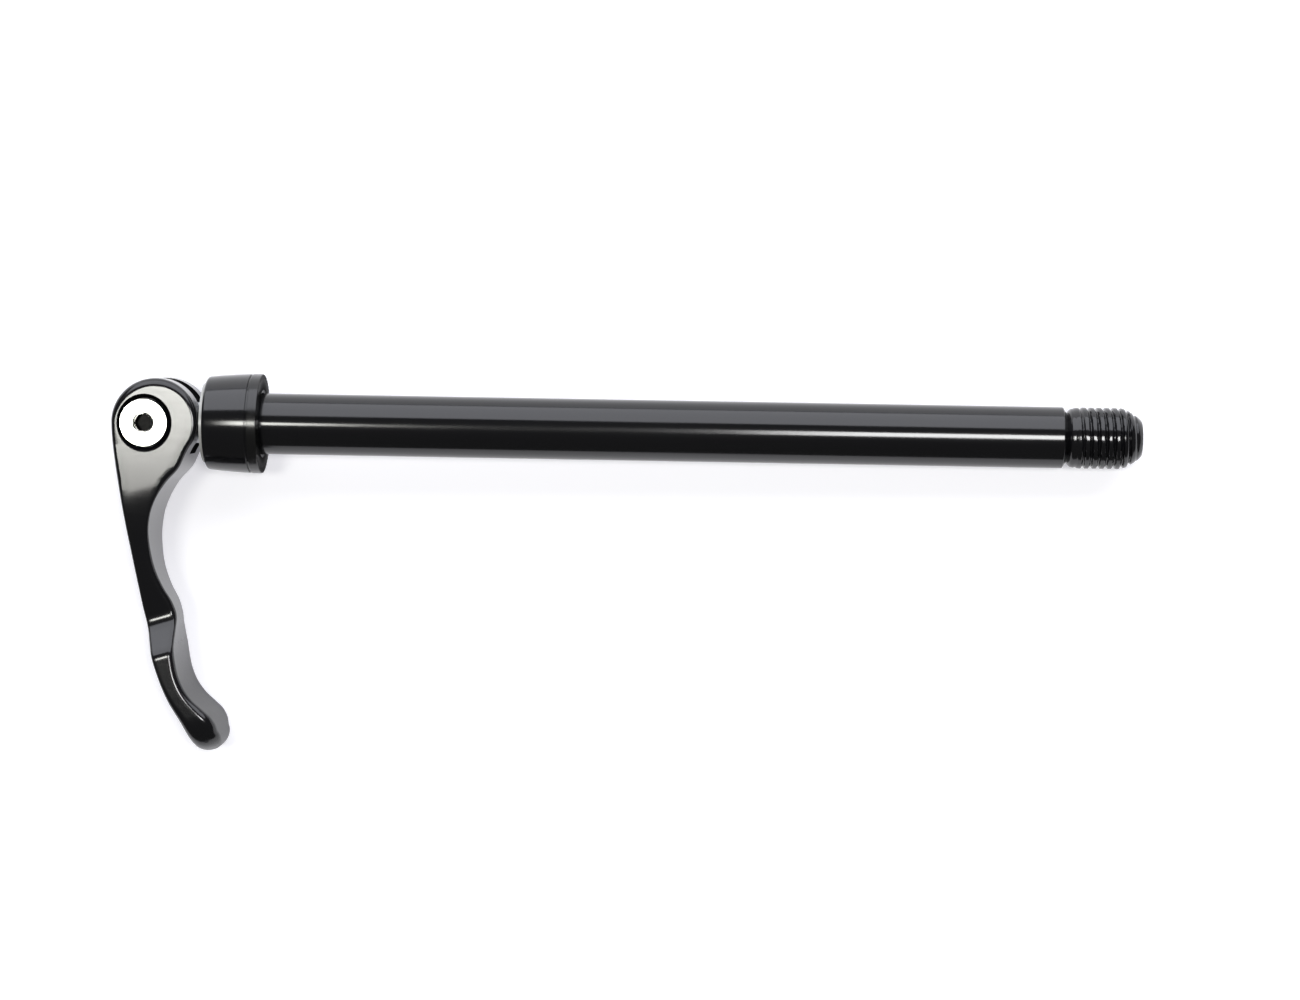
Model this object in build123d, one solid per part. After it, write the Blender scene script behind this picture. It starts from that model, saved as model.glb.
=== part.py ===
from build123d import *
import math
import os

# Bicycle thru axle with an external-cam lever, lying with its axis along X.
# Millimetres. The origin is on the axle's axis, in the plane of the washer's seat face;
# +X runs to the threaded end, the closed lever points to -Y and its pivot is along Z.

# Axle shaft
axle_dia = 12.0
axle_bore = 6.8
seat_to_tip = 172.0
thread_length = 14.0
relief_width = 1.3
relief_depth = 0.75
lead_in_length = 3.2
lead_in_dia = 8.6
tip_chamfer = 0.6
land_drop = 0.4
shoulder_gap = 0.1
shaft_end_chamfer = 0.4

# Tapered collar
collar_length = 10.5
collar_large_dia = 19.6
collar_small_dia = 18.3
collar_edge_chamfer = 0.6
collar_wall = 1.8
collar_bore_gap = 0.06
seam_width = 0.38
seam_depth = 0.4
bottoming_gap = 1.5

# Seat washer
seat_thickness = 1.95
seat_chamfer = 0.25
seat_bore_gap = 0.15
sleeve_dia = 14.6
sleeve_length = 2.2
sleeve_end_gap = 0.2

# Cam washer
cam_washer_dia = 15.6
cam_washer_thickness = 1.6
cam_washer_proud = 1.0
cam_washer_gap = 0.05
key_gap = 0.12

# Cam lever: hub
cam_radius = 8.4
cam_throw = 2.3
over_centre = 8.0
cam_gap = 0.1
fork_width = 17.8
slot_width = 6.3
slot_floor = 6.1
edge_chamfer = 0.9

# Cam lever: arm and paddle. Each outline point is two shares of the reach: how far below
# the pivot it is, and how far from the pivot towards the axle. The tip's corner is a share too.
lever_reach = 60.4
back_angle = 185.5
flank_angle = -37.0
back_line = [(0.1440, -0.0861), (0.2815, -0.0621), (0.5166, -0.0207), (0.7119, 0.0232), (0.8990, 0.0894)]
back_end = (1.0447, 0.1724)
tip_lean = 30.0
inner_end = (0.9967, 0.2477)
paddle_line = [(0.9272, 0.2053), (0.8940, 0.1689), (0.8195, 0.1267), (0.7368, 0.1068)]
knuckle = (0.6556, 0.0993)
throat_line = [(0.5828, 0.0844), (0.4735, 0.0331), (0.3427, 0.0215), (0.2350, 0.0510)]
waist_width = 7.0
paddle_width = 18.4
depth_lean = 17.0
fork_face_length = 17.0
flare_length = 6.0
paddle_length = 21.7
tip_overrun = 0.5
slope_blend = 40.0
waist_blend = 5.0
flare_blend = 3.0
tip_corner_share = 0.13245

# Pivot screw, barrel and eye bolt
pivot_dia = 6.4
pivot_running_gap = 0.04
head_dia = 9.4
head_sink = 1.05
barrel_end_gap = 0.2
barrel_head_floor = 1.8
screw_dia = 5.0
screw_end_gap = 0.6
hex_across_flats = 3.0
hex_depth = 2.0
hex_mouth_dia = 4.1
eye_radius = 5.6
eye_side_gap = 0.15
bolt_dia = 8.0
bolt_hole_gap = 0.3
bolt_engagement = 14.0
bolt_hole_spare = 2.0
flat_spare = 0.1

# Places along the axle
collar_left = -collar_length
cam_washer_left = collar_left - cam_washer_proud
pivot_x = cam_washer_left - cam_gap - cam_throw - cam_radius
recess_floor = cam_washer_left + cam_washer_thickness
wall_right = recess_floor + collar_wall
shaft_end = wall_right + bottoming_gap
thread_start = seat_to_tip - thread_length
land_dia = axle_dia - land_drop
cam_x = pivot_x + cam_throw * math.cos(math.radians(over_centre))
cam_y = cam_throw * math.sin(math.radians(over_centre))

# Places along the pivot
cheek = fork_width / 2
head_top = cheek - head_sink
sink_radius = head_dia / 2 + head_sink
head_bottom = head_top - (head_dia - screw_dia) / 2
barrel_end = head_bottom - barrel_end_gap
eye_thickness = slot_width - 2 * eye_side_gap


def turned(points):
    """Solid of revolution about the axle's axis from points of (x, radius)."""
    return revolve(make_face(Polyline(points, close=True)), Axis.X)


def pivot_turned(points):
    """Solid of revolution about the pivot from points of (radius, height)."""
    plane = Plane(origin=(pivot_x, 0, 0), x_dir=(1, 0, 0), z_dir=(0, -1, 0))
    section = plane * make_face(Polyline(points, close=True))
    return revolve(section, Axis((pivot_x, 0, 0), (0, 0, 1)))


def rod_along_x(diameter, x_from, x_to):
    """Round rod on the axle's axis between two places."""
    return Plane.YZ.offset(x_from) * extrude(Circle(diameter / 2), x_to - x_from)


def make_axle_shaft():
    radius = axle_dia / 2
    root = radius - relief_depth
    groove = thread_start - relief_width
    shaft = turned([
        (shaft_end, 0),
        (shaft_end, land_dia / 2 - shaft_end_chamfer),
        (shaft_end + shaft_end_chamfer, land_dia / 2),
        (shoulder_gap, land_dia / 2),
        (shoulder_gap, radius),
        (groove, radius),
        (groove + relief_width / 2, root),
        (thread_start, radius),
        (seat_to_tip - lead_in_length, radius),
        (seat_to_tip, lead_in_dia / 2),
        (seat_to_tip, 0),
    ])
    rim = shaft.edges().filter_by(GeomType.CIRCLE).sort_by(Axis.X)[-1]
    shaft = chamfer(rim, tip_chamfer)
    bore = rod_along_x(axle_bore, shaft_end, seat_to_tip)
    tapped = rod_along_x(bolt_dia, shaft_end, shaft_end + bolt_engagement + bolt_hole_spare)
    return shaft - bore - tapped


def make_eye_bolt():
    shank = rod_along_x(bolt_dia, pivot_x, shaft_end + bolt_engagement)
    flat_right = recess_floor + bottoming_gap - flat_spare
    thread_side = Pos(flat_right, 0, 0) * Box(
        seat_to_tip, axle_dia, axle_dia, align=(Align.MIN, Align.CENTER, Align.CENTER)
    )
    tongue_slab = Box(2 * seat_to_tip, 2 * eye_radius, eye_thickness)
    eye = Pos(pivot_x, 0, 0) * Cylinder(eye_radius, eye_thickness)
    hole = Pos(pivot_x, 0, 0) * Cylinder(pivot_dia / 2 + pivot_running_gap, axle_dia)
    return (shank & thread_side) + (shank & tongue_slab) + eye - hole


def lever_point(down, inward):
    return (pivot_x + inward * lever_reach, -down * lever_reach)


def lever_outline():
    """Side outline of the lever: cam circle, back, rounded tip and inner edge."""
    with BuildSketch() as outline:
        with BuildLine():
            hub = CenterArc((cam_x, cam_y), cam_radius, flank_angle, back_angle - flank_angle)
            lean = math.radians(tip_lean)
            back = Spline(
                hub @ 1, *[lever_point(*place) for place in back_line], lever_point(*back_end),
                tangents=[hub % 1, (math.sin(lean), -math.cos(lean))],
            )
            tip = TangentArc(back @ 1, lever_point(*inner_end), tangent=back % 1)
            paddle = Spline(
                tip @ 1, *[lever_point(*place) for place in paddle_line], lever_point(*knuckle),
                tangents=[tip % 1, (0, 1)],
            )
            Spline(
                paddle @ 1, *[lever_point(*place) for place in throat_line], hub @ 0,
                tangents=[paddle % 1, hub % 0],
            )
        make_face()
    return outline.sketch


def lever_depth(depth_end):
    """Depth outline of the lever, seen square to its waist: fork, waist, flare and paddle."""
    half_fork = fork_width / 2
    half_paddle = paddle_width / 2
    flare_top = depth_end - paddle_length
    upper = [
        (-2 * cam_radius, half_fork, 0),
        (fork_face_length, half_fork, slope_blend),
        (flare_top - flare_length, waist_width / 2, waist_blend),
        (flare_top, half_paddle, flare_blend),
        (depth_end, half_paddle, tip_corner_share * lever_reach),
    ]
    lower = [(along, -half, blend) for along, half, blend in reversed(upper)]
    corners = upper + lower
    face = make_face(Polyline([(along, half) for along, half, blend in corners], close=True))
    for along, half, blend in corners:
        if blend:
            corner = face.vertices().sort_by_distance((along, half))[0]
            face = fillet(corner, blend)
    return face


def make_cam_lever():
    lean = math.radians(depth_lean)
    down = (math.sin(lean), -math.cos(lean), 0)
    across = (math.cos(lean), math.sin(lean), 0)
    depth_plane = Plane(origin=(pivot_x, 0, 0), x_dir=down, z_dir=across)
    outline = lever_outline()
    depth_end = depth_plane.to_local_coords(outline).bounding_box().max.X + tip_overrun
    side_blank = extrude(Plane.XY.offset(-paddle_width) * outline, 2 * paddle_width)
    depth_blank = extrude(depth_plane.offset(-lever_reach) * lever_depth(depth_end), 2 * lever_reach)
    blank = side_blank & depth_blank
    rims = blank.edges().filter_by(lambda edge: abs(edge.center().Z) > waist_width / 4)
    rims = rims.filter_by(lambda edge: edge.geom_type != GeomType.LINE)
    blank = chamfer(rims, edge_chamfer)
    slot = Pos(pivot_x, -slot_floor, 0) * Box(
        6 * cam_radius, 6 * cam_radius, slot_width, align=(Align.CENTER, Align.MIN, Align.CENTER)
    )
    half_hole = pivot_dia / 2
    sink_foot = cheek - (sink_radius - half_hole)
    drilled = pivot_turned([
        (0, -2 * cheek),
        (sink_radius + cheek, -2 * cheek),
        (half_hole, -sink_foot),
        (half_hole, sink_foot),
        (sink_radius + cheek, 2 * cheek),
        (0, 2 * cheek),
    ])
    return blank - slot - drilled


def make_pivot_barrel():
    hole_radius = screw_dia / 2
    head_radius = head_dia / 2
    foot = head_top - (head_dia - pivot_dia) / 2
    return pivot_turned([
        (0, -head_top),
        (head_radius, -head_top),
        (pivot_dia / 2, -foot),
        (pivot_dia / 2, barrel_end),
        (hole_radius, barrel_end),
        (hole_radius, -head_top + barrel_head_floor),
        (0, -head_top + barrel_head_floor),
    ])


def make_pivot_screw():
    screw_radius = screw_dia / 2
    body = pivot_turned([
        (0, head_top),
        (head_dia / 2, head_top),
        (screw_radius, head_bottom),
        (screw_radius, -head_top + barrel_head_floor + screw_end_gap),
        (0, -head_top + barrel_head_floor + screw_end_gap),
    ])
    top = Pos(pivot_x, 0, head_top)
    hexagon = RegularPolygon(hex_across_flats / 2, 6, major_radius=False)
    socket = top * extrude(hexagon, -hex_depth)
    mouth_depth = (hex_mouth_dia - hex_across_flats) / 2
    mouth = pivot_turned([
        (0, head_top),
        (hex_mouth_dia / 2, head_top),
        (hex_across_flats / 2, head_top - mouth_depth),
        (0, head_top - mouth_depth),
    ])
    return body - socket - mouth


def make_cam_washer():
    disc = rod_along_x(cam_washer_dia, cam_washer_left, recess_floor)
    key_hole = rod_along_x(bolt_dia + 2 * key_gap, cam_washer_left, recess_floor)
    key_hole &= Box(4 * collar_length, axle_dia, eye_thickness + 2 * key_gap)
    return disc - key_hole


def collar_radius(x):
    """Outside radius of the tapered collar at a place along the axle."""
    share = (x - collar_left) / (-seat_thickness - collar_left)
    return (collar_small_dia + share * (collar_large_dia - collar_small_dia)) / 2


def make_tapered_collar():
    right = -seat_thickness
    seam = right - seam_width
    body = turned([
        (collar_left, 0),
        (collar_left, collar_small_dia / 2),
        (seam, collar_radius(seam)),
        (seam, collar_radius(right) - seam_depth),
        (right, collar_radius(right) - seam_depth),
        (right, 0),
    ])
    edge = body.edges().filter_by(GeomType.CIRCLE).sort_by(Axis.X)[0]
    body = chamfer(edge, collar_edge_chamfer)
    recess = rod_along_x(cam_washer_dia + 2 * cam_washer_gap, collar_left, recess_floor)
    bolt_hole = rod_along_x(bolt_dia + 2 * bolt_hole_gap, recess_floor, wall_right)
    guide = rod_along_x(land_dia + 2 * collar_bore_gap, wall_right, right)
    sleeve_seat = rod_along_x(sleeve_dia, right - sleeve_length - sleeve_end_gap, right)
    return body - recess - bolt_hole - guide - sleeve_seat


def make_seat_washer():
    hole = axle_dia / 2 + seat_bore_gap
    rim = collar_large_dia / 2
    return turned([
        (-seat_thickness - sleeve_length, hole),
        (-seat_thickness - sleeve_length, sleeve_dia / 2),
        (-seat_thickness, sleeve_dia / 2),
        (-seat_thickness, rim),
        (-seat_chamfer, rim),
        (0, rim - seat_chamfer),
        (0, hole),
    ])


pieces = {
    "axle_shaft": make_axle_shaft(),
    "eye_bolt": make_eye_bolt(),
    "cam_lever": make_cam_lever(),
    "pivot_barrel": make_pivot_barrel(),
    "pivot_screw": make_pivot_screw(),
    "cam_washer": make_cam_washer(),
    "tapered_collar": make_tapered_collar(),
    "seat_washer": make_seat_washer(),
}

os.makedirs("parts", exist_ok=True)
for name, piece in pieces.items():
    export_step(piece, os.path.join("parts", name + ".step"))
    print(name, "volume", round(piece.volume, 1), "mm3")
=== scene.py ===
import math
import bpy
from mathutils import Matrix, Vector
from mathutils.geometry import interpolate_bezier


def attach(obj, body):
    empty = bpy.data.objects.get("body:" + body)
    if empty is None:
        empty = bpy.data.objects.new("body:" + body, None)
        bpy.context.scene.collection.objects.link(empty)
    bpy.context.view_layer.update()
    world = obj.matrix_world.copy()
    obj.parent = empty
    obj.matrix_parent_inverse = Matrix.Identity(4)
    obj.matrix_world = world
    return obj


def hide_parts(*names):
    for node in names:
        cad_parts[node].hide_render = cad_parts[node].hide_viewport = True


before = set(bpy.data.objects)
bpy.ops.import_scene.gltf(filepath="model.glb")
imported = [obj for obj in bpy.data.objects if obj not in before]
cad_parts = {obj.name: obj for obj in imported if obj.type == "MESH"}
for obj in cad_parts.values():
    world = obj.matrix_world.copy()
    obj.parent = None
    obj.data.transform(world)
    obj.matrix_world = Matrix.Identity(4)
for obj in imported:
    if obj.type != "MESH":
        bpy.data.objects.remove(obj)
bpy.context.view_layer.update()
mm = 0.001  # the values below are in millimetres, Blender works in metres
sameSpot = 0.001  # places this near to each other count as one
mergeGap = 0.0005  # vertices this near are merged
edgeSteps = 5  # facets across a rounded edge
arcSteps = 16  # facets across a drawn arc
print("stage: frame loaded")


def linearColour(hexColour):
    channels = [int(hexColour[start:start + 2], 16) / 255 for start in (0, 2, 4)]
    channels = [c / 12.92 if c <= 0.04045 else ((c + 0.055) / 1.055) ** 2.4 for c in channels]
    return channels + [1.0]


def addNode(tree, kind, settings=None, links=None):
    node = tree.nodes.new(kind)
    for name, value in (settings or {}).items():
        if isinstance(name, int) or name in node.inputs:
            node.inputs[name].default_value = value
        else:
            setattr(node, name, value)
    for name, source in (links or {}).items():
        tree.links.new(source, node.inputs[name])
    return node


def newMaterial(name):
    material = bpy.data.materials.new(name)
    material.use_nodes = True
    material.node_tree.nodes.clear()
    return material, material.node_tree


def startFresh():
    if bpy.context.object and bpy.context.object.mode != "OBJECT":
        bpy.ops.object.mode_set(mode="OBJECT")
    bpy.ops.object.select_all(action="DESELECT")


def makeActive(piece):
    startFresh()
    piece.select_set(True)
    bpy.context.view_layer.objects.active = piece


def pickVertices(piece, wanted):
    # Edit mode keeps its own copy of the selection, so it is set from object mode
    bpy.ops.object.mode_set(mode="EDIT")
    bpy.ops.mesh.select_mode(type="VERT")
    bpy.ops.mesh.select_all(action="DESELECT")
    bpy.ops.object.mode_set(mode="OBJECT")
    for vertex in piece.data.vertices:
        vertex.select = wanted(vertex.co / mm)
    bpy.ops.object.mode_set(mode="EDIT")


def closeUp(piece, gap=mergeGap):
    makeActive(piece)
    bpy.ops.object.mode_set(mode="EDIT")
    bpy.ops.mesh.select_all(action="SELECT")
    bpy.ops.mesh.remove_doubles(threshold=gap * mm)
    bpy.ops.mesh.normals_make_consistent(inside=False)
    bpy.ops.object.mode_set(mode="OBJECT")


def applyModifier(piece, kind, settings):
    makeActive(piece)
    modifier = piece.modifiers.new(kind.title(), kind)
    for name, value in settings.items():
        setattr(modifier, name, value)
    bpy.ops.object.modifier_apply(modifier=modifier.name)


def cutWith(piece, cutter):
    applyModifier(piece, "BOOLEAN", {"operation": "DIFFERENCE", "solver": "EXACT", "object": cutter})
    bpy.data.objects.remove(cutter, do_unlink=True)


def turnPiece(name, profile, steps, cuts=None, along="X"):
    # The profile is a closed chain of (place, radius, rounding), drawn point by point and spun
    startFresh()
    bpy.ops.mesh.primitive_plane_add(size=mm, location=(0, 0, 0))
    piece = bpy.context.object
    piece.name = name
    bpy.ops.object.mode_set(mode="EDIT")
    bpy.ops.mesh.select_all(action="SELECT")
    bpy.ops.mesh.merge(type="CENTER")
    bpy.ops.transform.translate(value=(profile[0][0] * mm, profile[0][1] * mm, 0))
    for before, after in zip(profile, profile[1:] + profile[:1]):
        step = ((after[0] - before[0]) * mm, (after[1] - before[1]) * mm, 0)
        bpy.ops.mesh.extrude_vertices_move(TRANSFORM_OT_translate={"value": step})
    bpy.ops.mesh.select_all(action="SELECT")
    bpy.ops.mesh.remove_doubles(threshold=mergeGap * mm)
    for place, radius, rounding in profile:
        if rounding:
            pickVertices(piece, lambda co: math.hypot(co.x - place, co.y - radius) < sameSpot)
            bpy.ops.mesh.bevel(affect="VERTICES", offset=rounding * mm, segments=edgeSteps)
    for left, right, radius, count in cuts or []:
        pickVertices(piece, lambda co: left - sameSpot < co.x < right + sameSpot and co.y > radius)
        bpy.ops.mesh.subdivide(number_cuts=count)
    bpy.ops.mesh.select_all(action="SELECT")
    bpy.ops.mesh.spin(steps=steps, angle=2 * math.pi, center=(0, 0, 0), axis=(1, 0, 0))
    closeUp(piece)
    if along == "Z":
        piece.data.transform(Matrix.Rotation(math.radians(-90), 4, "Y"))
    return piece


def finishPiece(piece, node, body, material, angle):
    makeActive(piece)
    bpy.ops.object.shade_smooth_by_angle(angle=math.radians(angle))
    # Broad faces keep their true normals, so the shine on them isn't bent by the rounded edges
    applyModifier(piece, "WEIGHTED_NORMAL", {"keep_sharp": True})
    piece.data.materials.clear()
    piece.data.materials.append(material)
    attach(piece, body)
    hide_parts(node)
    print("stage:", piece.name, len(piece.data.polygons), "faces")


# Hard-anodised black of the axle and collar: a clear glassy skin over a near-black base.
# The drawn grain is far finer on the real tube; here it is as coarse as it needs to show.
drawnGrain = {"length": 25.0, "width": 1.1}
axleBlack, tree = newMaterial("black anodised aluminium, turned")
place = addNode(tree, "ShaderNodeTexCoord")
drawn = addNode(
    tree, "ShaderNodeMapping",
    {"Scale": [1 / (drawnGrain[side] * mm) for side in ("length", "width", "width")]},
    {"Vector": place.outputs["Object"]},
)
grain = addNode(tree, "ShaderNodeTexNoise", {"Scale": 1.0, "Detail": 2.0}, {"Vector": drawn.outputs[0]})
gloss = addNode(tree, "ShaderNodeMapRange", {"To Min": 0.09, "To Max": 0.17}, {"Value": grain.outputs[0]})
skin = addNode(
    tree, "ShaderNodeBsdfPrincipled",
    {"Base Color": linearColour("0b0b0d")}, {"Roughness": gloss.outputs[0]},
)
addNode(tree, "ShaderNodeOutputMaterial", links={"Surface": skin.outputs[0]})

# Anodised black of the lever: linished faces shine clear, the paddle's rubbed walls shine softer.
# The linishing marks are drawn coarser than the belt's grit, so that they show.
linishMarks = {"length": 6.25, "width": 0.7}
rubbedWalls = {"start": -36.0, "full": -52.0, "added": 0.27}  # along the lever, from the waist down
leverBlack, tree = newMaterial("black anodised aluminium, forged")
place = addNode(tree, "ShaderNodeTexCoord")
linished = addNode(
    tree, "ShaderNodeMapping",
    {"Scale": [1 / (linishMarks[side] * mm) for side in ("length", "width", "width")]},
    {"Vector": place.outputs["Object"]},
)
grain = addNode(tree, "ShaderNodeTexNoise", {"Scale": 1.0, "Detail": 3.0}, {"Vector": linished.outputs[0]})
gloss = addNode(tree, "ShaderNodeMapRange", {"To Min": 0.13, "To Max": 0.18}, {"Value": grain.outputs[0]})
facing = addNode(tree, "ShaderNodeSeparateXYZ", links={"Vector": place.outputs["Normal"]})
upright = addNode(tree, "ShaderNodeMath", {"operation": "ABSOLUTE"}, {0: facing.outputs["Z"]})
wall = addNode(
    tree, "ShaderNodeMapRange", {"From Min": 0.1, "From Max": 0.6, "To Min": 1.0, "To Max": 0.0},
    {"Value": upright.outputs[0]},
)
spot = addNode(tree, "ShaderNodeSeparateXYZ", links={"Vector": place.outputs["Object"]})
worn = addNode(
    tree, "ShaderNodeMapRange",
    {
        "From Min": rubbedWalls["full"] * mm, "From Max": rubbedWalls["start"] * mm,
        "To Min": rubbedWalls["added"], "To Max": 0.0,
    },
    {"Value": spot.outputs["Y"]},
)
soft = addNode(tree, "ShaderNodeMath", {"operation": "MULTIPLY"}, {0: wall.outputs[0], 1: worn.outputs[0]})
rough = addNode(tree, "ShaderNodeMath", {"operation": "ADD"}, {0: gloss.outputs[0], 1: soft.outputs[0]})
skin = addNode(
    tree, "ShaderNodeBsdfPrincipled",
    {"Base Color": linearColour("0b0b0d")}, {"Roughness": rough.outputs[0]},
)
addNode(tree, "ShaderNodeOutputMaterial", links={"Surface": skin.outputs[0]})

# Blackened steel of the seat washer: clear shine on the rim, a dull toothed face
oxideMottle = 1.1  # coarser than the real oxide, so that it shows
washerBlack, tree = newMaterial("blackened steel")
place = addNode(tree, "ShaderNodeTexCoord")
mottle = addNode(
    tree, "ShaderNodeTexNoise", {"Scale": 1 / (oxideMottle * mm), "Detail": 3.0},
    {"Vector": place.outputs["Object"]},
)
gloss = addNode(tree, "ShaderNodeMapRange", {"To Min": 0.12, "To Max": 0.26}, {"Value": mottle.outputs[0]})
facing = addNode(tree, "ShaderNodeSeparateXYZ", links={"Vector": place.outputs["Normal"]})
toothed = addNode(
    tree, "ShaderNodeMapRange", {"From Min": 0.5, "From Max": 0.9, "To Min": 0.5, "To Max": 0.02},
    {"Value": facing.outputs["X"]},
)
skin = addNode(
    tree, "ShaderNodeBsdfPrincipled",
    {"Base Color": linearColour("0d0d0d")},
    {"Roughness": gloss.outputs[0], "Specular IOR Level": toothed.outputs[0]},
)
addNode(tree, "ShaderNodeOutputMaterial", links={"Surface": skin.outputs[0]})

# Bright stainless of the pivot screw and barrel: white shine, with painted shade below the screw's top. The
# painted shade makes the inside of the hex socket near-black, and with it the hidden shank and the barrel on
# the far side.
polishMottle = 0.85  # coarser than the real polish, so that it shows
socketShadeHeights = {"below": 7.2, "above": 7.5}  # heights near the screw's top
brightSteel, tree = newMaterial("bright stainless steel")
place = addNode(tree, "ShaderNodeTexCoord")
mottle = addNode(
    tree, "ShaderNodeTexNoise", {"Scale": 1 / (polishMottle * mm), "Detail": 2.0},
    {"Vector": place.outputs["Object"]},
)
gloss = addNode(tree, "ShaderNodeMapRange", {"To Min": 0.16, "To Max": 0.28}, {"Value": mottle.outputs[0]})
height = addNode(tree, "ShaderNodeSeparateXYZ", links={"Vector": place.outputs["Object"]})
# Painted shade: below these heights the steel takes a near-black tone that stands for the shade inside the
# hex socket
socket = addNode(
    tree, "ShaderNodeMapRange", {"From Min": socketShadeHeights["below"] * mm, "From Max": socketShadeHeights["above"] * mm},
    {"Value": height.outputs["Z"]},
)
steelAndShadeTone = addNode(tree, "ShaderNodeValToRGB", links={"Fac": socket.outputs[0]})
# The first colour is the painted socket shade, the second the bright steel
steelAndShadeTone.color_ramp.elements[0].color = linearColour("070707")
steelAndShadeTone.color_ramp.elements[1].color = linearColour("d9d8d4")
skin = addNode(
    tree, "ShaderNodeBsdfPrincipled", {"Metallic": 1.0},
    {"Base Color": steelAndShadeTone.outputs[0], "Roughness": gloss.outputs[0]},
)
addNode(tree, "ShaderNodeOutputMaterial", links={"Surface": skin.outputs[0]})

# Zinc plate of the eye bolt: grey metal, slightly cloudy
zincCloud = 2.0  # width of a cloudy patch
zincPlate, tree = newMaterial("zinc plated steel")
place = addNode(tree, "ShaderNodeTexCoord")
mottle = addNode(
    tree, "ShaderNodeTexNoise", {"Scale": 1 / (zincCloud * mm), "Detail": 4.0},
    {"Vector": place.outputs["Object"]},
)
gloss = addNode(tree, "ShaderNodeMapRange", {"To Min": 0.25, "To Max": 0.42}, {"Value": mottle.outputs[0]})
skin = addNode(
    tree, "ShaderNodeBsdfPrincipled",
    {"Base Color": linearColour("a9abae"), "Metallic": 1.0}, {"Roughness": gloss.outputs[0]},
)
addNode(tree, "ShaderNodeOutputMaterial", links={"Surface": skin.outputs[0]})

# Natural acetal of the cam washer: milky, slightly soft shine in the gap beside the collar
mouldedSkin = 1.4  # width of an uneven patch in the moulded skin
acetal, tree = newMaterial("natural acetal")
place = addNode(tree, "ShaderNodeTexCoord")
mottle = addNode(
    tree, "ShaderNodeTexNoise", {"Scale": 1 / (mouldedSkin * mm), "Detail": 2.0},
    {"Vector": place.outputs["Object"]},
)
gloss = addNode(tree, "ShaderNodeMapRange", {"To Min": 0.2, "To Max": 0.3}, {"Value": mottle.outputs[0]})
skin = addNode(
    tree, "ShaderNodeBsdfPrincipled",
    {"Base Color": linearColour("a8a8a5")}, {"Roughness": gloss.outputs[0]},
)
addNode(tree, "ShaderNodeOutputMaterial", links={"Surface": skin.outputs[0]})
print("stage: materials")

# Axle shaft: tube, relief groove, helical thread that fades in after the groove, rounded lead-in
shaft = {
    "radius": 6.0, "landRadius": 5.8, "boreRadius": 3.4, "tapRadius": 4.0,
    "leftEnd": -6.6, "tapEnd": 9.4, "shoulder": 0.1, "tip": 172.0,
    "grooveStart": 156.6, "noseLength": 0.35, "noseRadius": 3.9, "endRadius": 3.5,
    "landRounding": 0.4, "shoulderRounding": 0.05, "grooveRounding": 0.12, "noseRounding": 0.2,
    "pitch": 1.5, "threadDepth": 0.5, "crestShare": 0.42, "rootShare": 0.08, "turnOffset": 0.895,
    "steps": 112, "threadCuts": 230, "outerWall": 3.95, "smoothAngle": 40,
    # How far out the thread reaches, by place: groove, full height, rounded lead-in
    "envelope": [
        (157.35, 4.85), (157.75, 5.35), (158.15, 5.7), (159.0, 5.9), (160.2, 6.0), (167.6, 6.0),
        (168.4, 5.88), (169.1, 5.6), (169.7, 5.25), (170.3, 4.9), (170.85, 4.55), (171.3, 4.2),
    ],
    # How much of the thread's depth is cut, by place
    "fade": [(158.0, 0.0), (159.0, 0.25), (161.0, 1.0), (169.6, 1.0), (171.2, 0.1)],
}


def lineValue(line, place):
    if place <= line[0][0]:
        return line[0][1]
    for before, after in zip(line, line[1:]):
        if place <= after[0]:
            return before[1] + (after[1] - before[1]) * (place - before[0]) / (after[0] - before[0])
    return line[-1][1]


def threadRadius(place, angle):
    # Rolled thread: broad crest and narrow root with softened flanks between them
    turns = place / shaft["pitch"] - angle / (2 * math.pi) + shaft["turnOffset"]
    fromCrest = abs((turns + 0.5) % 1.0 - 0.5)
    flank = (1 - shaft["crestShare"] - shaft["rootShare"]) / 2
    share = min(max((fromCrest - shaft["crestShare"] / 2) / flank, 0.0), 1.0)
    depth = shaft["threadDepth"] * share * share * (3 - 2 * share)
    return lineValue(shaft["envelope"], place) - depth * lineValue(shaft["fade"], place)


envelope = shaft["envelope"]
axle = turnPiece("axle_shaft_visual", [
    (shaft["leftEnd"], shaft["tapRadius"], 0),
    (shaft["leftEnd"], shaft["landRadius"], shaft["landRounding"]),
    (shaft["shoulder"], shaft["landRadius"], 0),
    (shaft["shoulder"], shaft["radius"], shaft["shoulderRounding"]),
    (shaft["grooveStart"], shaft["radius"], shaft["grooveRounding"]),
    (envelope[0][0], envelope[0][1], 0),
    (envelope[-1][0], envelope[-1][1], 0),
    (shaft["tip"] - shaft["noseLength"], shaft["noseRadius"], shaft["noseRounding"]),
    (shaft["tip"], shaft["endRadius"], 0),
    (shaft["tip"], shaft["boreRadius"], 0),
    (shaft["tapEnd"], shaft["boreRadius"], 0),
    (shaft["tapEnd"], shaft["tapRadius"], 0),
], shaft["steps"], [(envelope[0][0], envelope[-1][0], shaft["outerWall"], shaft["threadCuts"])])
for vertex in axle.data.vertices:
    x, y, z = vertex.co / mm
    reach = math.hypot(y, z)
    if envelope[0][0] + sameSpot < x < envelope[-1][0] - sameSpot and reach > shaft["outerWall"]:
        radius = threadRadius(x, math.atan2(z, y))
        vertex.co = Vector((x, y * radius / reach, z * radius / reach)) * mm
finishPiece(axle, "axle_shaft", "axle", axleBlack, shaft["smoothAngle"])

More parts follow.
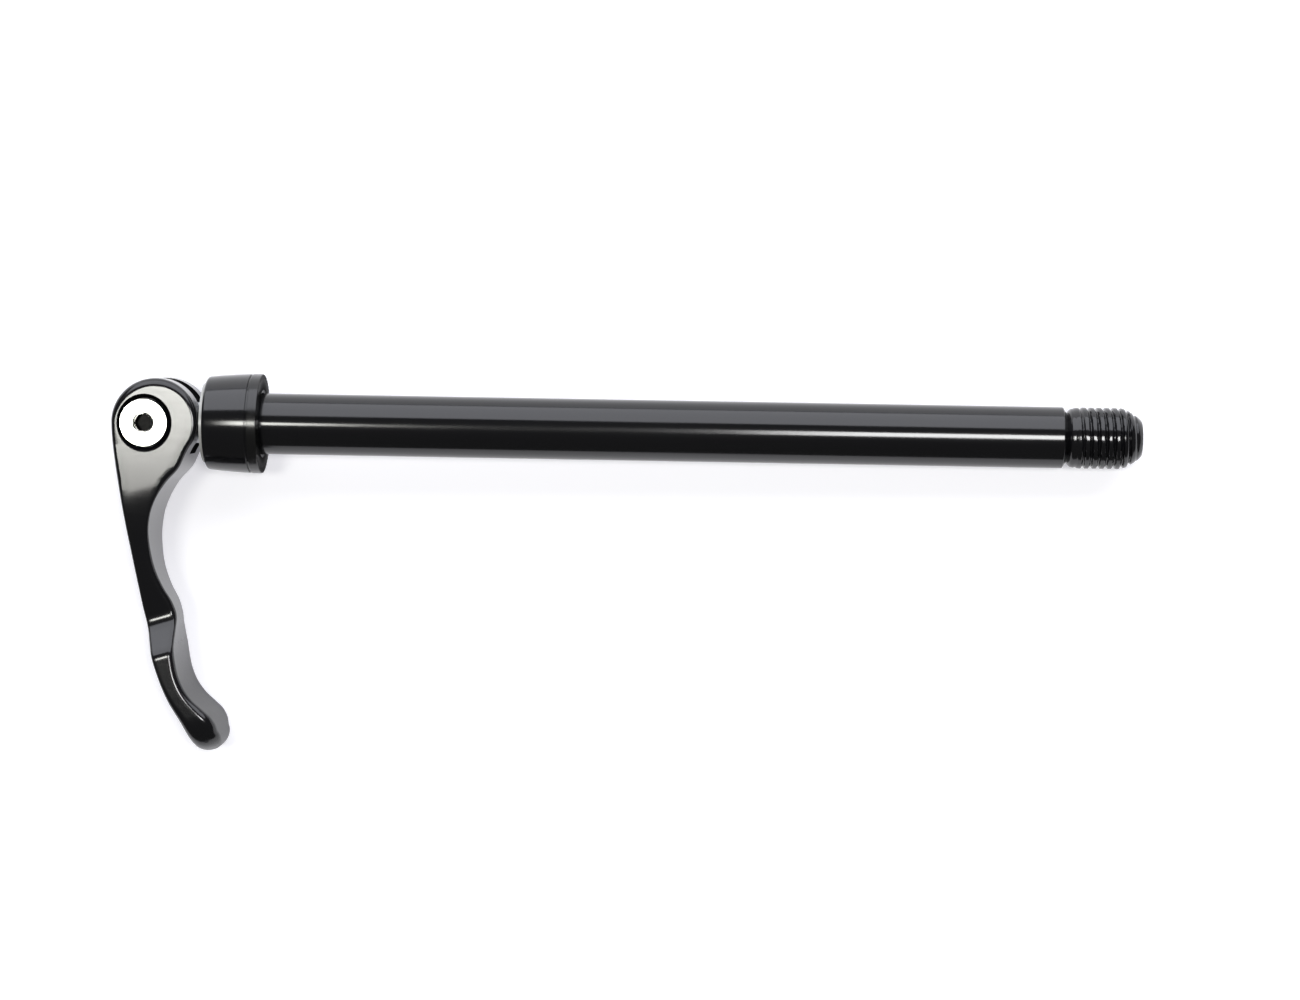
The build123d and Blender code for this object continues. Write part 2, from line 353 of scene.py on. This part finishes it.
# Tapered collar: slightly crowned outside, rounded left edge, parting line before the washer
collar = {
    "left": -10.85, "right": -1.95, "seam": -2.33, "seamFloor": 9.38,
    "edgeRounding": 0.6, "recessRounding": 0.2, "seamRounding": 0.1,
    "outside": [(-10.85, 9.12), (-8.0, 9.41), (-4.6, 9.66), (-2.33, 9.77)],
    "recessRadius": 7.85, "recessFloor": -9.9, "boltHole": 4.3, "wallRight": -8.1,
    "guideRadius": 5.86, "seatRadius": 7.3, "seatFloor": -4.35, "steps": 128, "smoothAngle": 35,
}
outside = collar["outside"]
collarPiece = turnPiece("tapered_collar_visual", [
    (collar["left"], collar["recessRadius"], collar["recessRounding"]),
    (outside[0][0], outside[0][1], collar["edgeRounding"]),
    (outside[1][0], outside[1][1], 0),
    (outside[2][0], outside[2][1], 0),
    (outside[3][0], outside[3][1], collar["seamRounding"]),
    (collar["seam"], collar["seamFloor"], 0),
    (collar["right"], collar["seamFloor"], 0),
    (collar["right"], collar["seatRadius"], 0),
    (collar["seatFloor"], collar["seatRadius"], 0),
    (collar["seatFloor"], collar["guideRadius"], 0),
    (collar["wallRight"], collar["guideRadius"], 0),
    (collar["wallRight"], collar["boltHole"], 0),
    (collar["recessFloor"], collar["boltHole"], 0),
    (collar["recessFloor"], collar["recessRadius"], 0),
], collar["steps"])
finishPiece(collarPiece, "tapered_collar", "collar", axleBlack, collar["smoothAngle"])

# Seat washer: rounded rim, sloped edge and a face cut with fine radial teeth
washer = {
    "back": -1.95, "rim": 9.79, "chamferStart": -0.2, "faceRim": 9.6, "bore": 6.15,
    "backRounding": 0.1, "chamferRounding": 0.12, "sleeveEnd": -4.15, "sleeveRadius": 7.3,
    "teeth": 60, "toothDepth": 0.16, "smoothAngle": 30,
    "landWidth": 0.4, "toothStart": 0.5,  # both from the bore
}
washerPiece = turnPiece("seat_washer_visual", [
    (washer["sleeveEnd"], washer["bore"], 0),
    (washer["sleeveEnd"], washer["sleeveRadius"], 0),
    (washer["back"], washer["sleeveRadius"], 0),
    (washer["back"], washer["rim"], washer["backRounding"]),
    (washer["chamferStart"], washer["rim"], washer["chamferRounding"]),
    (0.0, washer["faceRim"], 0),
    (0.0, washer["bore"] + washer["toothStart"], 0),
    (-washer["toothDepth"], washer["bore"] + washer["landWidth"], 0),
    (-washer["toothDepth"], washer["bore"], 0),
], washer["teeth"] * 2)
for vertex in washerPiece.data.vertices:
    if abs(vertex.co.x) < sameSpot * mm:
        turn = math.atan2(vertex.co.z, vertex.co.y) / (2 * math.pi) * washer["teeth"] * 2
        vertex.co.x -= (round(turn) % 2) * washer["toothDepth"] * mm
finishPiece(washerPiece, "seat_washer", "collar", washerBlack, washer["smoothAngle"])

# Pivot screw: flat head with a softened rim, hex socket with a coned mouth
screw = {
    "pivotX": -22.3, "headTop": 7.85, "headRadius": 4.7, "shankRadius": 2.5, "headBottom": 5.65,
    "shankEnd": -5.4, "hexFlats": 3.2, "hexDepth": 2.4, "mouthRadius": 2.05, "mouthDepth": 0.5,
    "shankRounding": 0.3, "rimDrop": 0.15, "rimInset": 0.12, "rimRounding": 0.1, "topRounding": 0.05,
    "mouthRounding": 0.08, "hexTurn": 30, "steps": 96, "mergeGap": 0.0001, "smoothAngle": 30,
}
screwPiece = turnPiece("pivot_screw_visual", [
    (screw["shankEnd"], 0.0, 0),
    (screw["shankEnd"], screw["shankRadius"], screw["shankRounding"]),
    (screw["headBottom"], screw["shankRadius"], 0),
    (screw["headTop"] - screw["rimDrop"], screw["headRadius"], screw["rimRounding"]),
    (screw["headTop"], screw["headRadius"] - screw["rimInset"], screw["topRounding"]),
    (screw["headTop"], screw["mouthRadius"], screw["mouthRounding"]),
    (screw["headTop"] - screw["mouthDepth"], screw["hexFlats"] / 2, 0),
    (screw["headTop"] - screw["mouthDepth"], 0.0, 0),
], screw["steps"], along="Z")
startFresh()
bpy.ops.mesh.primitive_cylinder_add(
    vertices=6, radius=screw["hexFlats"] / math.sqrt(3) * mm, depth=2 * screw["hexDepth"] * mm,
    location=(0, 0, screw["headTop"] * mm), rotation=(0, 0, math.radians(screw["hexTurn"])),
)
cutWith(screwPiece, bpy.context.object)
screwPiece.data.transform(Matrix.Translation((screw["pivotX"] * mm, 0, 0)))
closeUp(screwPiece, screw["mergeGap"])
finishPiece(screwPiece, "pivot_screw", "lever", brightSteel, screw["smoothAngle"])

# Cam lever: outlines seen from the side (mm from the pivot), depth along its leaned length,
# and the rounding of its edges; the hub and tip are arcs
lever = {
    "pivot": (-22.3, 0.0), "hubCentre": (2.278, 0.32), "hubRadius": 8.4, "lean": 17.0,
    "backAngle": 185.5, "flankAngle": -37.0,
    "back": [
        (-5.2, -8.7), (-3.75, -17.0), (-2.5, -24.1), (-1.25, -31.2), (0.0, -37.8), (1.4, -43.0),
        (3.15, -48.8), (5.4, -54.3), (7.9, -58.5),
    ],
    "inner": [
        (7.0, -8.86), (4.75, -11.4), (2.95, -14.2), (1.75, -17.2), (1.2, -20.7), (1.4, -24.6),
        (2.2, -28.6), (3.8, -32.5), (5.35, -35.2), (6.15, -37.6), (6.25, -40.5), (6.35, -43.5),
        (6.75, -46.5), (7.45, -49.5), (8.6, -52.0), (10.1, -54.0), (12.1, -55.8), (13.8, -57.4),
        (14.7, -59.0),
    ],
    "tipCentre": (12.75, -61.74), "tipRadius": 2.7, "tipStart": -150.0, "tipEnd": 30.0,
    "depth": [
        (-20.0, 8.9, 0), (16.4, 8.9, 40), (38.35, 4.1, 4), (44.0, 9.2, 3.2), (65.8, 9.2, 8),
        (65.8, 1.0, 0),
    ],
    "backRounding": [
        (-7.8, 1.6), (-5, 1.2), (-2, 0.75), (4, 0.75), (9, 0.9), (14, 0.6), (40, 0.5), (50, 0.7),
        (58, 1.5), (64.7, 2.0),
    ],
    "innerRounding": [
        (-7.8, 1.6), (-2.9, 1.3), (2.8, 1.0), (6.5, 0.85), (10.5, 0.9), (12.5, 1.1), (14.5, 0.6),
        (20, 0.6), (26, 1.0), (40, 1.1), (55, 1.3), (60, 1.8), (64.7, 2.0),
    ],
    "slotHalf": 3.15, "slotFloor": -6.1, "slotReach": 40.0,
    "holeRadius": 3.2, "seatRadius": 3.6, "cheek": 8.9,
    "sinkRadius": 5.68, "sinkFoot": 4.75, "sinkDepth": 2.3, "sinkShift": 0.38, "sinkNarrow": 0.04,
    "roundSteps": 7, "acrossSteps": 6, "holeSteps": 96, "mergeGap": 0.002,
    # Points on the end arcs, cuts between points, and the spacing of the sections (degrees, mm)
    "hubBackPoints": 9, "hubInnerPoints": 15, "tipBackPoints": 5, "tipInnerPoints": 10, "curveCuts": 24,
    "hubTurn": 5, "tipTurn": 6, "sectionGap": 0.3, "smoothAngle": 35,
}
leanAngle = math.radians(lever["lean"])
down = Vector((math.sin(leanAngle), -math.cos(leanAngle)))


def arcPoints(centre, radius, start, end, count):
    angles = [math.radians(start + (end - start) * i / count) for i in range(count + 1)]
    return [Vector((centre[0] + radius * math.cos(a), centre[1] + radius * math.sin(a))) for a in angles]


def smoothLine(points, cuts):
    # Curve through the points whose slope at each follows its neighbours by distance
    slopes = []
    for i, point in enumerate(points):
        before = points[max(i - 1, 0)]
        after = points[min(i + 1, len(points) - 1)]
        if i in (0, len(points) - 1):
            slopes.append((after - before).normalized())
        else:
            near, far = (point - before).length, (after - point).length
            slopes.append(((point - before) / near * far + (after - point) / far * near) / (near + far))
    line = []
    for i in range(len(points) - 1):
        third = (points[i + 1] - points[i]).length / 3
        handles = points[i] + slopes[i] * third, points[i + 1] - slopes[i + 1] * third
        part = interpolate_bezier(points[i], *handles, points[i + 1], cuts)
        line += [p.to_2d() for p in part[:-1]]
    return line + [points[-1]]


def roundedPath(corners):
    # Line of (along, half depth) whose corners are arcs of the given radius
    path = [Vector(corners[0][:2])]
    for before, corner, after in zip(corners, corners[1:], corners[2:]):
        point, radius = Vector(corner[:2]), corner[2]
        toBefore = (Vector(before[:2]) - point).normalized()
        toAfter = (Vector(after[:2]) - point).normalized()
        half = toBefore.angle(toAfter) / 2
        centre = point + (toBefore + toAfter).normalized() * radius / math.sin(half)
        start = point + toBefore * radius / math.tan(half) - centre
        end = point + toAfter * radius / math.tan(half) - centre
        sweep = -start.angle_signed(end)
        for i in range(arcSteps + 1):
            path.append(centre + Matrix.Rotation(sweep * i / arcSteps, 2) @ start)
    return path + [Vector(corners[-1][:2])]


depthPath = [(p.x, p.y) for p in roundedPath(lever["depth"])]
hubApex = math.degrees(math.atan2(-down.y, -down.x))
tipApex = math.degrees(math.atan2(down.y, down.x))
hubPlace, tipPlace = Vector(lever["hubCentre"]), Vector(lever["tipCentre"])
backLine = smoothLine(
    arcPoints(hubPlace, lever["hubRadius"], hubApex, lever["backAngle"], lever["hubBackPoints"])
    + [Vector(p) for p in lever["back"]]
    + arcPoints(tipPlace, lever["tipRadius"], lever["tipStart"], tipApex, lever["tipBackPoints"]),
    lever["curveCuts"],
)
innerLine = smoothLine(
    arcPoints(hubPlace, lever["hubRadius"], hubApex, lever["flankAngle"], lever["hubInnerPoints"])
    + [Vector(p) for p in lever["inner"]]
    + arcPoints(tipPlace, lever["tipRadius"], lever["tipEnd"], tipApex, lever["tipInnerPoints"]),
    lever["curveCuts"],
)


def crossing(line, station, side):
    # Where an outline passes a station along the lever, and which way it faces there
    for before, after in zip(line, line[1:]):
        if after.dot(down) >= station:
            break
    span = after.dot(down) - before.dot(down)
    share = min(max((station - before.dot(down)) / span, 0.0), 1.0) if span > 0 else 0.0
    run = (after - before).normalized()
    return before.lerp(after, share), Vector((run.y, -run.x)) * side


def sectionRing(station):
    # One closed ring round the lever: back wall, rounded edge, face, rounded edge, inner wall
    edges = []
    for line, side, rounding in ((backLine, -1, "backRounding"), (innerLine, 1, "innerRounding")):
        point, facing = crossing(line, station, -side)
        if station <= firstStation:
            facing = -down
        if station >= lastStation:
            facing = down
        edge = []
        for i in range(lever["roundSteps"] + 1):
            angle = math.pi / 2 * i / lever["roundSteps"]
            radius = lineValue(lever[rounding], station)
            spot = point - facing * radius * (1 - math.cos(angle))
            edge.append((spot, lineValue(depthPath, spot.dot(down)) - radius * (1 - math.sin(angle))))
        edges.append([(point, 0.0)] + edge)
    upper = edges[0]
    start, end = edges[0][-1][0], edges[1][-1][0]
    for i in range(1, lever["acrossSteps"]):
        spot = start.lerp(end, i / lever["acrossSteps"])
        upper.append((spot, lineValue(depthPath, spot.dot(down))))
    upper += reversed(edges[1])
    lower = [(spot, -height) for spot, height in reversed(upper[1:-1])]
    pivotX, pivotY = lever["pivot"]
    return [((spot.x + pivotX) * mm, (spot.y + pivotY) * mm, height * mm) for spot, height in upper + lower]


# The skin is made ring by ring, because both outlines and the depth change along the lever
firstStation = hubPlace.dot(down) - lever["hubRadius"]
lastStation = tipPlace.dot(down) + lever["tipRadius"]
hubAngles = [math.radians(a) for a in range(0, 90, lever["hubTurn"])]
tipAngles = [math.radians(a) for a in range(0, 91, lever["tipTurn"])]
stations = [firstStation + lever["hubRadius"] * (1 - math.cos(a)) for a in hubAngles]
tipStart = lastStation - lever["tipRadius"]
count = round((tipStart - stations[-1]) / lever["sectionGap"])
stations += [stations[-1] + (tipStart - stations[-1]) * i / count for i in range(1, count)]
stations += [tipStart + lever["tipRadius"] * math.sin(a) for a in tipAngles]
rings = [sectionRing(station) for station in stations]
ringSize = len(rings[0])
faces = []
for i in range(len(rings) - 1):
    for j in range(ringSize):
        k = (j + 1) % ringSize
        faces.append((i * ringSize + j, i * ringSize + k, (i + 1) * ringSize + k, (i + 1) * ringSize + j))
leverMesh = bpy.data.meshes.new("cam_lever_visual")
leverMesh.from_pydata([corner for ring in rings for corner in ring], [], faces)
leverPiece = bpy.data.objects.new("cam_lever_visual", leverMesh)
bpy.context.collection.objects.link(leverPiece)
closeUp(leverPiece, lever["mergeGap"])

# Slot between the two cheeks, then the pivot hole sunk from both sides
startFresh()
slotReach = lever["slotReach"]
slotMiddle = lever["slotFloor"] + slotReach / 2
bpy.ops.mesh.primitive_cube_add(size=1, location=(lever["pivot"][0] * mm, slotMiddle * mm, 0))
slotCutter = bpy.context.object
slotCutter.data.transform(Matrix.Diagonal((slotReach * mm, slotReach * mm, 2 * lever["slotHalf"] * mm, 1)))
cutWith(leverPiece, slotCutter)
cheek, hole = lever["cheek"], lever["holeRadius"]
sinkFloor = cheek - lever["sinkDepth"]
sinkSpread = 2 * lever["sinkRadius"] - lever["sinkFoot"]  # the cutter goes as far above the cheek as below
seatFoot = sinkFloor - (lever["seatRadius"] - hole)
sinkSide = [
    (cheek + lever["sinkDepth"], 0.0, 0),
    (cheek + lever["sinkDepth"], sinkSpread, 0),
    (sinkFloor, lever["sinkFoot"], 0),
    (sinkFloor, lever["seatRadius"], 0),
    (seatFoot, hole, 0),
]
otherSide = [(-place, radius, 0) for place, radius, rounding in reversed(sinkSide)]
holeCutter = turnPiece("hole_cutter", sinkSide + otherSide, lever["holeSteps"], along="Z")
for vertex in holeCutter.data.vertices:
    # The recess's rim lies a little towards the collar
    share = (abs(vertex.co.z) / mm - sinkFloor) / lever["sinkDepth"]
    if share > 0:
        vertex.co.x = vertex.co.x * (1 - lever["sinkNarrow"] * share) + lever["sinkShift"] * share * mm
holeCutter.data.transform(Matrix.Translation((lever["pivot"][0] * mm, 0, 0)))
cutWith(leverPiece, holeCutter)
closeUp(leverPiece)
finishPiece(leverPiece, "cam_lever", "lever", leverBlack, lever["smoothAngle"])

# The pieces inside stay as the CAD has them
for node, material in (("pivot_barrel", brightSteel), ("eye_bolt", zincPlate), ("cam_washer", acetal)):
    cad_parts[node].data.materials.clear()
    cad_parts[node].data.materials.append(material)
print("stage: inner pieces coloured")

# Pale floor, leaned a little because the collar, the paddle and the thread end all rest on it
stage = {
    "height": -9.81, "touchX": -1.3, "riseX": 0.0216, "riseY": -0.0132,
    "metres": 30.0, "glow": 0.4, "sky": 0.12,
}
floorWhite, tree = newMaterial("pale paper sweep")
rays = addNode(tree, "ShaderNodeLightPath")
seen = addNode(
    tree, "ShaderNodeMath", {"operation": "MAXIMUM"},
    {0: rays.outputs["Is Camera Ray"], 1: rays.outputs["Is Glossy Ray"]},
)
seen = addNode(
    tree, "ShaderNodeMath", {"operation": "MAXIMUM"},
    {0: seen.outputs[0], 1: rays.outputs["Is Transmission Ray"]},
)
glow = addNode(tree, "ShaderNodeMath", {"operation": "MULTIPLY", 1: stage["glow"]}, {0: seen.outputs[0]})
skin = addNode(
    tree, "ShaderNodeBsdfPrincipled",
    {
        "Base Color": linearColour("e8e8e8"), "Roughness": 0.9, "Specular IOR Level": 0.0,
        "Emission Color": linearColour("f7f6ff"),
    },
    {"Emission Strength": glow.outputs[0]},
)
addNode(tree, "ShaderNodeOutputMaterial", links={"Surface": skin.outputs[0]})
startFresh()
bpy.ops.mesh.primitive_plane_add(size=stage["metres"], location=(0, 0, 0))
floor = bpy.context.object
floor.name = "floor"
floorNormal = Vector((-stage["riseX"], -stage["riseY"], 1)).normalized()
floor.rotation_euler = floorNormal.to_track_quat("Z", "Y").to_euler()
floor.location = (0, 0, (stage["height"] - stage["riseX"] * stage["touchX"]) * mm)
floor.data.materials.append(floorWhite)

# A dim room above the floor
world = bpy.data.worlds.new("studio")
bpy.context.scene.world = world
world.use_nodes = True
tree = world.node_tree
tree.nodes.clear()
sky = addNode(tree, "ShaderNodeBackground", {"Color": linearColour("ffffff"), "Strength": stage["sky"]})
addNode(tree, "ShaderNodeOutputWorld", links={"Surface": sky.outputs[0]})

# Soft boxes, in metres: a wide bank beyond the axle and one small box on each side of the camera
lamps = {
    "bank": {
        "place": (0.07, 1.2, 0.665), "aim": (0.07, 0.0, 0.0), "size": (2.6, 1.46),
        "watts": 36.4, "colour": "f5f7ff",
    },
    "left box": {
        "place": (-0.22, 0.027, 1.0), "aim": (-0.22, 0.027, 0.0), "size": (0.2, 0.15),
        "watts": 2.5, "colour": "fffff9",
    },
    "right box": {
        "place": (0.245, 0.025, 1.0), "aim": (0.245, 0.025, 0.0), "size": (0.25, 0.24),
        "watts": 4.4, "colour": "ffffff",
    },
}
for name, values in lamps.items():
    light = bpy.data.lights.new(name, "AREA")
    light.shape = "RECTANGLE"
    light.size, light.size_y = values["size"]
    light.energy = values["watts"]
    light.color = linearColour(values["colour"])[:3]
    lamp = bpy.data.objects.new(name, light)
    lamp.location = values["place"]
    aim = Vector(values["aim"]) - Vector(values["place"])
    lamp.rotation_euler = aim.to_track_quat("-Z", "Y").to_euler()
    lamp.visible_camera = False
    bpy.context.collection.objects.link(lamp)

# Camera nearly straight above the axle, as in the photo, in metres and degrees
view = {
    "place": (0.09045, 0.01555, 0.59194), "turn": (-2.799, 1.417, 0.966),
    "lens": 83.62, "sensor": 36.0, "nearest": 0.01,
}
camera = bpy.data.objects.new("camera", bpy.data.cameras.new("camera"))
camera.location = view["place"]
camera.rotation_euler = [math.radians(angle) for angle in view["turn"]]
camera.data.lens = view["lens"]
camera.data.sensor_width = view["sensor"]
camera.data.clip_start = view["nearest"]
bpy.context.collection.objects.link(camera)
bpy.context.scene.camera = camera
bpy.context.scene.view_settings.view_transform = "Standard"
print("stage: floor, light and camera")
